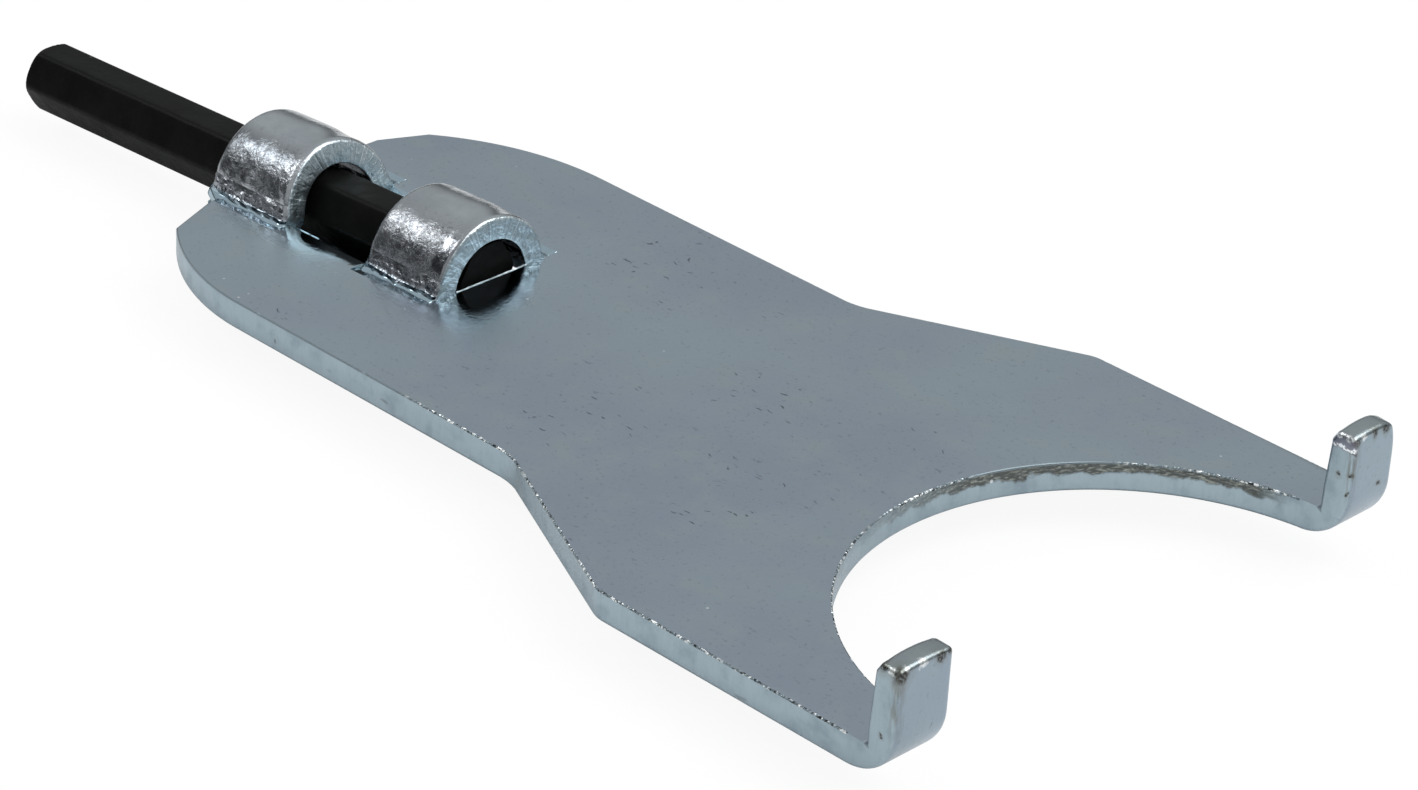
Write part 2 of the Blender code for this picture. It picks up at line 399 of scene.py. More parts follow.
def knocked(tree, plain, colour):
    # Chips in the zinc round the tips, ragged at their rims, the dark ones with a brown halo
    ragged = wobbly(tree, plain, 900, 0.0016)
    fine = cloudy(tree, plain, 2400, 3)
    grainy = window(tree, fine, 0.36, 0.52, 0.35, 0.95)
    halo = knockShare(tree, ragged, "dark", 2, 0.667)
    colour = stain(tree, colour, knockFinish["halo"], halo, knockFinish["haloShare"])
    for tone in ("dark", "bright"):
        chips = knockShare(tree, ragged, tone, 1.111, 0.625)
        colour = stain(tree, colour, knockFinish[tone], chips, grainy)
    # Two bright burrs cross the side of the far lug below its tip, in a stain
    across = along(tree, ragged, "Y")
    height = along(tree, ragged, "Z")
    onSide = times(tree, *[window(tree, across, *limit) for limit in knockFinish["burrSide"]])
    above = times(tree, onSide, window(tree, height, *knockFinish["burrStainFrom"]))
    colour = stain(tree, colour, knockFinish["burrStain"], above, knockFinish["burrStainShare"])
    broken = window(tree, fine, 0.42, 0.50, 0.1, 1)
    for burr in knockFinish["burrHeights"]:
        away = calc(tree, "ABSOLUTE", calc(tree, "SUBTRACT", height, burr))
        band = times(tree, window(tree, away, 0.0004, 0.0002), onSide)
        colour = stain(tree, colour, knockFinish["burr"], band, broken)
    # The tips' tops are rubbed brownish, and so is a stretch down one front edge of each lug
    worn = window(tree, along(tree, plain, "Z"), *knockFinish["wornFrom"])
    colour = stain(tree, colour, knockFinish["worn"], worn, knockFinish["wornShare"])
    squash = knockFinish["rubbedSquash"]
    upright = wobbly(tree, objectPlace(tree, (1, 1, squash)), 700, 0.0009)
    drawn = window(tree, cloudy(tree, objectPlace(tree, (1, 1, 0.14)), 2300, 2), 0.40, 0.60)
    for edgeY in knockFinish["rubbedEdges"]:
        gap = farFrom(tree, upright, (0.1137, edgeY, 0.0185 * squash))
        rubbed = times(tree, window(tree, gap, 0.0016, 0.0003), drawn)
        colour = stain(tree, colour, knockFinish["rubbed"], rubbed, knockFinish["rubbedShare"])
    return colour


def zincFace():
    material, tree, shader = newMaterial("zinc mill face")
    plain = objectPlace(tree)
    broad = cloudy(tree, plain, 28, 3)
    middle = cloudy(tree, plain, 160, 4)
    fine = cloudy(tree, plain, 1500, 2)
    colour = tint(tree, window(tree, broad, 0.35, 0.65), zincFinish["plain"], zincFinish["cloud"])
    colour = tint(tree, window(tree, middle, 0.5, 0.75, 0, 0.55), colour, zincFinish["warm"])
    colour = tint(tree, window(tree, fine, 0.62, 0.72, 0, 0.25), colour, zincFinish["scratch"])
    # Short dark nicks come in loose groups, most of them across the tool
    bent = wobbly(tree, plain, 260, 0.004)
    nicks = 0.0
    for angle, stretch, scale, size, keep in zincFinish["nicks"]:
        settings = {"Rotation": (0, 0, math.radians(angle)), "Scale": (1, stretch, 1)}
        turned = addNode(tree, "Mapping", settings)
        link(tree, bent, turned.inputs["Vector"])
        nicks = calc(tree, "MAXIMUM", specks(tree, turned.outputs[0], scale, size, keep), nicks)
    nicks = times(tree, nicks, window(tree, cloudy(tree, plain, 52, 2), 0.56, 0.63, 0.16, 1))
    colour = stain(tree, colour, zincFinish["scratch"], nicks, 0.8)
    colour = stain(tree, colour, zincFinish["fleck"], specks(tree, plain, 330, 0.085, 0.10), 0.8)
    # The stretched outside of the lugs is duller
    forkX = layout["forkX"]
    outside = window(tree, along(tree, plain, "X"), forkX - 0.0021, forkX + 0.0009)
    colour = stain(tree, colour, zincFinish["stretched"], outside, 0.34)
    colour = knocked(tree, plain, colour)
    # Painted shade: a dark line in the inside corner where each lug folds up from the plate
    foldX = forkX + layout["lugFront"] - layout["plateThick"]
    gap = farFrom(tree, wobbly(tree, objectPlace(tree, (1, 0, 1)), 500, 0.0003), (foldX, 0, plateTop))
    colour = stain(tree, colour, zincFinish["foldShade"], window(tree, gap, 0.0004, 0.0001), 0.6)
    satin = window(tree, middle, 0.3, 0.7, *zincFinish["roughness"])
    gloss = calc(tree, "SUBTRACT", satin, burnished["roughness"])
    roughness = calc(tree, "SUBTRACT", satin, times(tree, gloss, nearPassage(tree, plain)))
    waves = relief(tree, broad, 0.00025)
    grain = relief(tree, fine, 0.00003, waves)
    finishSurface(tree, shader, colour, 1.0, roughness, relief(tree, nicks, -0.00002, grain))
    return material


rimFinish = {"plain": (0.22, 0.27, 0.295), "dark": (0.035, 0.038, 0.042), "bright": (0.86, 0.89, 0.89)}
wallFinish = {
    "plain": (0.315, 0.392, 0.435),
    "streak": (0.235, 0.300, 0.345),
    "torn": (0.070, 0.070, 0.058),
    "tornLight": (0.29, 0.30, 0.26),
    "tornShare": 0.85,
    "tornDepth": 0.0017,
}


def shearedWall():
    material, tree, shader = newMaterial("zinc sheared wall")
    plain = objectPlace(tree)
    height = along(tree, plain, "Z")
    streaks = cloudy(tree, objectPlace(tree, (1, 1, 0.22)), 1700, 3)
    patches = cloudy(tree, plain, 260, 4)
    colour = tint(tree, window(tree, streaks, 0.45, 0.75, 0, 0.28), wallFinish["plain"], wallFinish["streak"])
    colour = tint(tree, window(tree, patches, 0.50, 0.72, 0, 0.75), colour, wallFinish["streak"])
    base = layout["plateBase"]
    lower = window(tree, height, base + 0.0022, base + 0.0006, 0, 0.16)
    colour = tint(tree, lower, colour, wallFinish["streak"])
    # In the fork's arc the upper part of the wall is torn along a ragged line, more on the far side
    ragged = calc(tree, "ADD", height, window(tree, patches, 0, 1, -0.0016, 0.0016))
    tornFrom = plateTop - wallFinish["tornDepth"]
    upper = window(tree, ragged, tornFrom - 0.0002, tornFrom + 0.0002)
    arc = window(tree, farFrom(tree, objectPlace(tree, (1, 1, 0)), (layout["forkX"], 0, 0)), 0.0426, 0.0420)
    farSide = window(tree, along(tree, plain, "Y"), -0.012, 0.010, 0.1, 1)
    notLug = window(tree, along(tree, plain, "X"), 0.1045, 0.0995)
    torn = times(tree, upper, arc, farSide, notLug)
    fibres = cloudy(tree, objectPlace(tree, (0.45, 0.45, 1.3)), 2100, 3)
    tornTone = tint(tree, window(tree, fibres, 0.48, 0.66), wallFinish["torn"], wallFinish["tornLight"])
    colour = stain(tree, colour, tornTone, torn, wallFinish["tornShare"])
    # Scuffs along the walls, a few bright dings and dark pits
    scuffs = specks(tree, wobbly(tree, objectPlace(tree, (0.5, 0.5, 1.6)), 300, 0.003), 300, 0.2, 0.12)
    colour = stain(tree, colour, wallFinish["torn"], scuffs, 0.35)
    colour = stain(tree, colour, rimFinish["bright"], specks(tree, plain, 260, 0.09, 0.10), 0.7)
    pits = specks(tree, objectPlace(tree, (1, 1, 0.6)), 420, 0.15, 0.09)
    colour = stain(tree, colour, wallFinish["torn"], pits, 0.55)
    colour = knocked(tree, plain, colour)
    lines = relief(tree, streaks, 0.00003)
    rough = relief(tree, times(tree, fibres, torn), 0.0002, lines)
    roughness = window(tree, patches, 0.3, 0.7, 0.30, 0.44)
    finishSurface(tree, shader, colour, 1.0, roughness, relief(tree, patches, 0.00012, rough))
    return material


def chippedRim():
    # The sheared rim: a broken line of bright burrs and dark nicks, busier towards the fork
    material, tree, shader = newMaterial("zinc chipped rim")
    plain = objectPlace(tree)
    towardFork = window(tree, along(tree, plain, "X"), -0.045, 0.050, -0.13, 0.05)
    busy = window(tree, calc(tree, "ADD", cloudy(tree, plain, 60, 2), towardFork), 0.42, 0.56)
    burrs = cloudy(tree, plain, 1250, 2, 0.6)
    nicks = cloudy(tree, objectPlace(tree, shift=(0.31, 0.17, 0)), 1050, 2, 0.6)
    bright = times(tree, window(tree, burrs, 0.54, 0.60), busy)
    dark = times(tree, window(tree, nicks, 0.53, 0.60), busy)
    colour = tint(tree, dark, rimFinish["plain"], rimFinish["dark"])
    colour = tint(tree, bright, colour, rimFinish["bright"])
    finishSurface(tree, shader, colour, 1.0, 0.34, relief(tree, times(tree, burrs, busy), 0.0005))
    return material


formedFinish = {
    "crown": (0.425, 0.470, 0.490),
    "cloud": (0.365, 0.405, 0.430),
    "flank": (0.315, 0.330, 0.348),
    "creaseShade": (0.075, 0.070, 0.085),
    "foot": (0.30, 0.32, 0.35),
    "footEdgeHighlight": (0.55, 0.67, 0.76),
    "darkReflection": (0.085, 0.10, 0.115),
    "darkReflectionShare": 0.70,
    "frontFlankShade": (0.12, 0.125, 0.14),
    "dish": (0.32, 0.42, 0.48),
    "roughness": (0.14, 0.23),
}


def formedZinc():
    material, tree, shader = newMaterial("zinc formed skin")
    plain = objectPlace(tree)
    place = along(tree, plain, "X")
    rise = calc(tree, "SUBTRACT", along(tree, plain, "Z"), plateTop)
    crinkle = cloudy(tree, plain, 1250, 4, 0.65, 1.4)
    lumps = cloudy(tree, plain, 170, 3)
    # The crown is ironed smooth by the punch, the flanks are crinkled and the feet are crumpled
    raised = window(tree, rise, 0.00005, 0.0004)
    flank = times(tree, window(tree, rise, 0.0102, 0.0080), raised)
    foot = times(tree, window(tree, rise, 0.0026, 0.0012), raised)
    edge = times(tree, window(tree, rise, 0.0007, 0.0003), raised)
    colour = tint(tree, window(tree, lumps, 0.40, 0.62), formedFinish["crown"], formedFinish["cloud"])
    colour = stain(tree, colour, formedFinish["flank"], flank, 0.8)
    # Painted shade darkens the concave feet where the loops and trough leave the plate
    colour = stain(tree, colour, formedFinish["foot"], foot, 0.7)
    # Painted highlight: a pale blue line along the lowest edge of each foot
    colour = stain(tree, colour, formedFinish["footEdgeHighlight"], edge, 0.8)
    # Painted dark reflection across the rear loop's upper flank behind its front rim, and painted shade on
    # the front loop's flanks
    behind = window(tree, place, rearSlitX - 0.0026, rearSlitX - 0.0052)
    shoulder = times(tree, window(tree, rise, 0.0094, 0.0080), window(tree, rise, 0.0052, 0.0080, 0.15, 1))
    darkReflection = times(tree, behind, shoulder, raised)
    colour = stain(tree, colour, formedFinish["darkReflection"], darkReflection, formedFinish["darkReflectionShare"])
    ahead = window(tree, place, frontSlitX - 0.002, frontSlitX + 0.002)
    colour = stain(tree, colour, formedFinish["frontFlankShade"], times(tree, ahead, flank), 0.34)
    # Painted shade in the creases of the crinkle on the flanks and feet
    shadedCreases = times(tree, window(tree, crinkle, 0.565, 0.66), calc(tree, "ADD", flank, foot))
    colour = stain(tree, colour, formedFinish["creaseShade"], shadedCreases, 0.55)
    colour = tint(tree, window(tree, raised, 0, 1, 1, 0), colour, formedFinish["dish"])
    skin = window(tree, lumps, 0.35, 0.65, *formedFinish["roughness"])
    roughness = times(tree, skin, window(tree, raised, 0, 1, 0.6, 1))
    # The crinkle comes in patches
    patchy = window(tree, cloudy(tree, plain, 260, 2), 0.36, 0.62, 0.22, 1)
    normal = relief(tree, times(tree, crinkle, patchy, window(tree, flank, 0, 1, 0.1, 1)), 0.00011)
    normal = relief(tree, times(tree, cloudy(tree, plain, 330, 2), flank), 0.00012, normal)
    normal = relief(tree, times(tree, cloudy(tree, plain, 430, 2), foot), 0.0009, normal)
    finishSurface(tree, shader, colour, 1.0, roughness, normal)
    return material


slitFinish = {
    "plain": (0.42, 0.50, 0.53),
    "streak": (0.20, 0.24, 0.26),
    "bright": (0.85, 0.90, 0.92),
    "radius": 0.011,
    "centreDrop": 0.001,
}


def slitWall():
    # The streaks of the torn edge run outwards from near the bar's middle
    material, tree, shader = newMaterial("zinc lanced edge")
    plain = objectPlace(tree, shift=(0, -passageY(mouthX), slitFinish["centreDrop"] - plateTop))
    angle = calc(tree, "ARCTAN2", along(tree, plain, "Z"), along(tree, plain, "Y"))
    around = addNode(tree, "CombineXYZ")
    link(tree, times(tree, angle, slitFinish["radius"]), around.inputs[0])
    streaks = cloudy(tree, around.outputs[0], 2600, 3, 0.7)
    patches = cloudy(tree, plain, 420, 3)
    colour = tint(tree, window(tree, streaks, 0.50, 0.68, 0, 0.6), slitFinish["plain"], slitFinish["streak"])
    colour = tint(tree, window(tree, streaks, 0.46, 0.34, 0, 0.9), colour, slitFinish["bright"])
    roughness = window(tree, patches, 0.3, 0.7, 0.26, 0.42)
    lines = relief(tree, streaks, 0.00010)
    finishSurface(tree, shader, colour, 1.0, roughness, relief(tree, patches, 0.0005, lines))
    return material


oxideFinish = {
    "plain": (0.0030, 0.0033, 0.0030),
    "worn": (0.008, 0.0085, 0.0075),
    "fleck": (0.06, 0.062, 0.055),
    "specular": 0.06,
}


def blackOxide():
    material, tree, shader = newMaterial("black oxide")
    plain = objectPlace(tree)
    drawn = cloudy(tree, objectPlace(tree, (0.08, 1, 1)), 900, 3)
    broad = cloudy(tree, plain, 120, 3)
    colour = tint(tree, window(tree, broad, 0.4, 0.7, 0, 0.4), oxideFinish["plain"], oxideFinish["worn"])
    colour = tint(tree, window(tree, drawn, 0.6, 0.8, 0, 0.35), colour, oxideFinish["worn"])
    colour = stain(tree, colour, oxideFinish["fleck"], specks(tree, plain, 300, 0.10, 0.06), 0.7)
    shader.inputs["Specular IOR Level"].default_value = oxideFinish["specular"]
    roughness = window(tree, broad, 0.3, 0.7, 0.36, 0.48)
    lines = relief(tree, drawn, 0.00003)
    finishSurface(tree, shader, colour, 0.0, roughness, relief(tree, broad, 0.0005, lines))
    return material


finishes = [zincFace(), shearedWall(), formedZinc(), slitWall(), chippedRim()]
faceSlot, wallSlot, formedSlot, slitSlot, rimSlot = range(5)
oxide = blackOxide()
print("finishes made")


# Mesh helpers
def within(value):
    return max(0.0, min(1.0, value))


def pick(items, kind):
    return [item for item in items if isinstance(item, kind)]


def soften(shape, geom, offset, segments, affect):
    bmesh.ops.bevel(shape, geom=geom, offset=offset, segments=segments, profile=0.5,
                    affect=affect, material=-1, clamp_overlap=False)


def faceOutward(shape):
    bmesh.ops.recalc_face_normals(shape, faces=shape.faces)
    shape.normal_update()


def dropInner(shape, faces):
    # Faces left inside a drawn shape go, and so do the edges that only they had
    bmesh.ops.delete(shape, geom=[face for face in faces if face.is_valid], context="FACES_ONLY")
    loose = [edge for edge in shape.edges if not edge.link_faces]
    bmesh.ops.delete(shape, geom=loose, context="EDGES")


def arcOn(shape, start, centre, degrees, steps):
    # Carries a point round a centre in the XY plane and leaves the arc behind it
    made = bmesh.ops.spin(shape, geom=[start], cent=centre, axis=(0, 0, 1),
                          angle=math.radians(degrees), steps=steps, use_duplicate=False)
    return pick(made["geom_last"], BMVert)[0]


def lineOn(shape, start, place):
    end = shape.verts.new(place)
    shape.edges.new((start, end))
    return end


# The stamped blank
blank = {
    "halfWidth": 0.0508,
    "bodyHalf": 0.0350,
    "forkRadius": 0.0416,
    "shoulder": 0.0525,
    "waist": 0.0860,
    "waistSoftness": 0.0022,
    "shoulderSoftness": 0.0010,
    "tailFlatHalf": 0.0170,
    "tailSweep": 0.0036,
    "cornerReach": (0.0247, 0.0266),
    "tailRadius": (0.0440, 0.0380),
    "topEdge": 0.00026,
}
lugs = {
    "height": 0.0174,
    "outsideRadius": 0.0080,
    "width": (0.0094, 0.0102),
    "strips": 8,
    "rows": (0.25, 0.5, 0.68, 0.84, 1.0),
    "edgeRound": 0.0007,
    "backLean": 0.0006,
    "backTaper": 0.0009,
    "backTaperFrom": 0.84,
    "backCrown": 0.00065,
    "frontCrown": 0.0002,
    "crownPower": 2.2,
    "cornerRound": 0.0032,
    "cornerRise": 0.0050,
    "cornerDrop": 0.0006,
    "tipTaper": 0.0006,
    "sideTaperReach": 0.004,
    "frontTaperReach": 0.002,
}
bendX = layout["forkX"] + layout["lugFront"] - lugs["outsideRadius"]
bendZ = layout["plateBase"] + lugs["outsideRadius"]
tipZ = layout["plateBase"] + lugs["height"]


def tailSide(shape, start, side):
    # From the arm back along one side of the blank to the tail's straight end
    forkX = layout["forkX"]
    index = 0 if side > 0 else 1
    radius = blank["tailRadius"][index]
    reach = blank["cornerReach"][index]
    curveY = blank["bodyHalf"] - radius
    cornerAngle = math.asin((reach - curveY) / radius)
    curveX = tailX + blank["tailSweep"] + radius * math.cos(cornerAngle)
    shoulder = lineOn(shape, start, (forkX - blank["shoulder"], side * blank["halfWidth"], 0))
    waist = lineOn(shape, shoulder, (forkX - blank["waist"], side * blank["bodyHalf"], 0))
    curveStart = lineOn(shape, waist, (curveX, side * blank["bodyHalf"], 0))
    sweep = side * (90 - math.degrees(cornerAngle))
    corner = arcOn(shape, curveStart, (curveX, side * curveY, 0), sweep, 26)
    end = lineOn(shape, corner, (tailX, side * blank["tailFlatHalf"], 0))
    return end, waist


def armEnd(shape, side, inner):
    return [face for face in shape.faces
            if face.normal.x > 0.9 and face.calc_center_median().y * side > inner]


def raiseLug(shape, side):
    # The arm's end is spun up round the bend, then drawn straight up to its tip
    whole = armEnd(shape, side, blank["forkRadius"])[0]
    across = [edge for edge in whole.edges if abs(edge.verts[0].co.y - edge.verts[1].co.y) > 0.005]
    bmesh.ops.subdivide_edges(shape, edges=across, cuts=lugs["strips"] - 1, use_grid_fill=True)
    shape.normal_update()
    strips = armEnd(shape, side, blank["forkRadius"] - 0.001)
    width = lugs["width"][0 if side > 0 else 1]
    startY = math.sqrt(blank["forkRadius"] ** 2 - (bendX - layout["forkX"]) ** 2)
    tipY = blank["halfWidth"] - width
    before = set(shape.verts)
    around = bmesh.ops.spin(shape, geom=strips, cent=(bendX, 0, bendZ), axis=(0, -1, 0),
                            angle=math.radians(90), steps=18, use_duplicate=False)
    dropInner(shape, strips)
    bent = [vert for vert in shape.verts if vert not in before]
    sharpReach = lugs["outsideRadius"] - layout["plateThick"]
    middleReach = lugs["outsideRadius"] - layout["plateThick"] / 2
    for vert in bent:
        dx, dz = vert.co.x - bendX, vert.co.z - bendZ
        turn = math.atan2(dx, -dz)
        if math.hypot(dx, dz) < middleReach:
            # The inside of the bend folds to a sharp corner
            reach = sharpReach / max(math.sin(turn), math.cos(turn))
            vert.co.x = bendX + reach * math.sin(turn)
            vert.co.z = bendZ - reach * math.cos(turn)
        share = (abs(vert.co.y) - startY) / (blank["halfWidth"] - startY)
        inner = startY + (tipY - startY) * math.sin(turn)
        vert.co.y = side * (inner + (blank["halfWidth"] - inner) * share)
    top = pick(around["geom_last"], BMFace)
    for height in lugs["rows"]:
        made = bmesh.ops.extrude_face_region(shape, geom=top)
        newTop = pick(made["geom"], BMFace)
        ring = pick(made["geom"], BMVert)
        dropInner(shape, top)
        top = newTop
        for vert in ring:
            vert.co.z = bendZ + (tipZ - bendZ) * height
            atBack = abs(vert.co.x - bendX) < middleReach
            if atBack:
                taper = within((height - lugs["backTaperFrom"]) / (1 - lugs["backTaperFrom"]))
                vert.co.x = bendX + sharpReach + lugs["backLean"] * height + lugs["backTaper"] * taper
            if height == 1.0:
                # The tip is crowned across its width, most at the back
                share = (abs(vert.co.y) - tipY) / (blank["halfWidth"] - tipY)
                crown = lugs["backCrown"] if atBack else lugs["frontCrown"]
                vert.co.z += crown * (1 - abs(2 * share - 1) ** lugs["crownPower"])


def makeBlank():
    shape = bmesh.new()
    forkX = layout["forkX"]
    tipAngle = math.degrees(math.acos((bendX - forkX) / blank["forkRadius"]))
    tipY = blank["forkRadius"] * math.sin(math.radians(tipAngle))
    first = shape.verts.new((bendX, -tipY, 0))
    last = arcOn(shape, first, (forkX, 0, 0), -(360 - 2 * tipAngle), 96)
    leftStart = lineOn(shape, last, (bendX, blank["halfWidth"], 0))
    leftEnd, leftWaist = tailSide(shape, leftStart, 1)
    rightStart = lineOn(shape, first, (bendX, -blank["halfWidth"], 0))
    rightEnd, rightWaist = tailSide(shape, rightStart, -1)
    shape.edges.new((leftEnd, rightEnd))
    soften(shape, [leftWaist, rightWaist], blank["waistSoftness"], 6, "VERTICES")
    corners = [vert for vert in shape.verts
               if abs(vert.co.x - (forkX - blank["shoulder"])) < 1e-5 and abs(vert.co.y) > 0.05]
    soften(shape, corners, blank["shoulderSoftness"], 3, "VERTICES")
    bmesh.ops.contextual_create(shape, geom=shape.edges[:])
    bmesh.ops.translate(shape, verts=shape.verts, vec=(0, 0, layout["plateBase"]))
    raised = bmesh.ops.extrude_face_region(shape, geom=shape.faces[:])
    upper = pick(raised["geom"], BMVert)
    bmesh.ops.translate(shape, verts=upper, vec=(0, 0, layout["plateThick"]))
    faceOutward(shape)
    raiseLug(shape, 1)
    raiseLug(shape, -1)
    faceOutward(shape)
    return shape


def sharpEdges(shape):
    # The blank's corners all round: those of the plate's top face, and the others
    rims = [edge for edge in shape.edges if edge.calc_face_angle(0.0) > math.radians(55)]
    top = [edge for edge in rims if all(abs(vert.co.z - plateTop) < 1e-6 for vert in edge.verts)]
    return top, [edge for edge in rims if edge not in top]


def roundTip(shape):
    # The outer back corner of the left tip is rounded off, more towards the top
    backX = bendX + lugs["outsideRadius"] - layout["plateThick"]
    for vert in shape.verts:
        share = within((vert.co.z - (tipZ - lugs["cornerRise"])) / lugs["cornerRise"])
        if share > 0 and vert.co.x > backX - 0.001 and vert.co.y > 0:
            radius = lugs["cornerRound"] * share
            inX, inY = vert.co.x - backX, blank["halfWidth"] - vert.co.y
            reach = math.hypot(radius - inX, radius - inY)
            if inX < radius and inY < radius < reach:
                vert.co.x = backX + radius - (radius - inX) * radius / reach
                inY = radius - (radius - inY) * radius / reach
                vert.co.y = blank["halfWidth"] - inY
            fall = max(0.0, 1 - inY / lugs["cornerRound"]) * share
            vert.co.z -= lugs["cornerDrop"] * fall ** 2
            draw = lugs["tipTaper"] * share ** 2
            vert.co.y -= draw * max(0.0, 1 - inY / lugs["sideTaperReach"])
            frontReach = lugs["frontTaperReach"]
            vert.co.x -= 0.5 * draw * within((vert.co.x - backX - frontReach) / frontReach)


def softenBlank(shape):
    # The bottom rim and the lugs are rolled over, and the plate's top rim stays crisp
    shape.normal_update()
    soften(shape, sharpEdges(shape)[1], lugs["edgeRound"], 4, "EDGES")
    roundTip(shape)
    shape.normal_update()
    topRim = [edge for edge in sharpEdges(shape)[0] if sum(vert.co.x for vert in edge.verts) < 2 * bendX]
    soften(shape, topRim, blank["topEdge"], 2, "EDGES")
    shape.normal_update()
    for face in shape.faces:
        isPlate = face.calc_center_median().x < bendX
        sheared = abs(face.normal.z) < 0.6 if isPlate else abs(face.normal.y) > 0.6
        face.material_index = wallSlot if sheared else faceSlot
        if isPlate and 0.15 < face.normal.z < 0.97:
            face.material_index = rimSlot
    return shape


# Loops and trough
passage = {
    "radius": 0.0070,
    "wall": 0.0040,
    "loopCentre": 0.0039,
    "troughCentre": 0.0052201,
    "footRound": 0.0018,
    # Shares of the feet's reach, and how far each effect takes to fade
    "footFrom": 0.86,
    "pastFrom": 0.97,
    "pastFade": 0.0011,
    "crumpleAt": 0.93,
    "crumpleFade": 0.0022,
    "flankFrom": 0.0035,
    "flankFade": 0.0040,
    "windowHalf": 0.01357,
    "windowOverrun": 0.005,
    "tongue": 0.0039,
    "tongueEase": 0.0004,
    "necking": 0.0024,
    "rows": 40,
    "rimRound": 0.0012,
    "innerRimRound": 0.0003,
    "frontRimRound": 0.0008,
    "hollow": 0.00030,
    "hollowPlace": 0.0022,
    "hollowWidth": 0.0024,
    "rearLean": 0.00035,
    # Height of each kind of unevenness, and waves to the millimetre
    "lumps": (0.00005, 0.33),
    "crinkle": (0.000025, 0.9),
    "footCrumple": (0.00026, 0.8),
}


def stripProfile(shape, direction):
    # Outer surface of a strip, drawn flat: plate, foot bend, arch, foot bend, plate
    centre = passage["loopCentre"] if direction > 0 else passage["troughCentre"]
    half = layout["plateThick"] / 2
    arch = (centre - half) * direction
    foot = passage["footRound"]
    outer = passage["radius"] + passage["wall"]
    reach = math.sqrt((outer + foot) ** 2 - (half + foot - arch) ** 2)
    lean = math.degrees(math.atan2(half + foot - arch, reach))
    end = passage["windowHalf"]
    point = shape.verts.new((-end, half, 0))
    point = lineOn(shape, point, (-reach, half, 0))
    point = arcOn(shape, point, (-reach, half + foot, 0), 90 - lean, 16)
    point = arcOn(shape, point, (0, arch, 0), -(180 - 2 * lean), 72)
    point = arcOn(shape, point, (reach, half + foot, 0), 90 - lean, 16)
    lineOn(shape, point, (end, half, 0))
    return reach, arch


def makeStrip(direction, length):
    shape = bmesh.new()
    reach, arch = stripProfile(shape, direction)
    # Stand the profile up in the YZ plane, with X as the way along the passage
    turn = Matrix(((0, 0, 1), (1, 0, 0), (0, 1, 0)))
    bmesh.ops.rotate(shape, verts=shape.verts, cent=(0, 0, 0), matrix=turn)
    rows = passage["rows"]
    edges = shape.edges[:]
    place = 0.0
    for row in range(1, rows + 1):
        # Rows crowd towards both slit edges, where the rims are rounded
        nextPlace = length * (1 - math.cos(math.pi * row / rows)) / 2
        made = bmesh.ops.extrude_edge_only(shape, edges=edges)
        ring = pick(made["geom"], BMVert)
        bmesh.ops.translate(shape, verts=ring, vec=(nextPlace - place, 0, 0))
        edges = [edge for edge in pick(made["geom"], BMEdge) if set(edge.verts) <= set(ring)]
        place = nextPlace
    faceOutward(shape)
    crown = max(shape.faces, key=lambda face: face.calc_center_median().z)
    if crown.normal.z < 0:
        bmesh.ops.reverse_faces(shape, faces=shape.faces)
        shape.normal_update()
    bmesh.ops.solidify(shape, geom=shape.faces[:], thickness=passage["wall"])
    faceOutward(shape)
    return shape, reach, arch


def ripple(spot, kind, shift=(0, 0, 0)):
    height, waves = passage[kind]
    return height * noise.noise(spot * waves + Vector(shift))


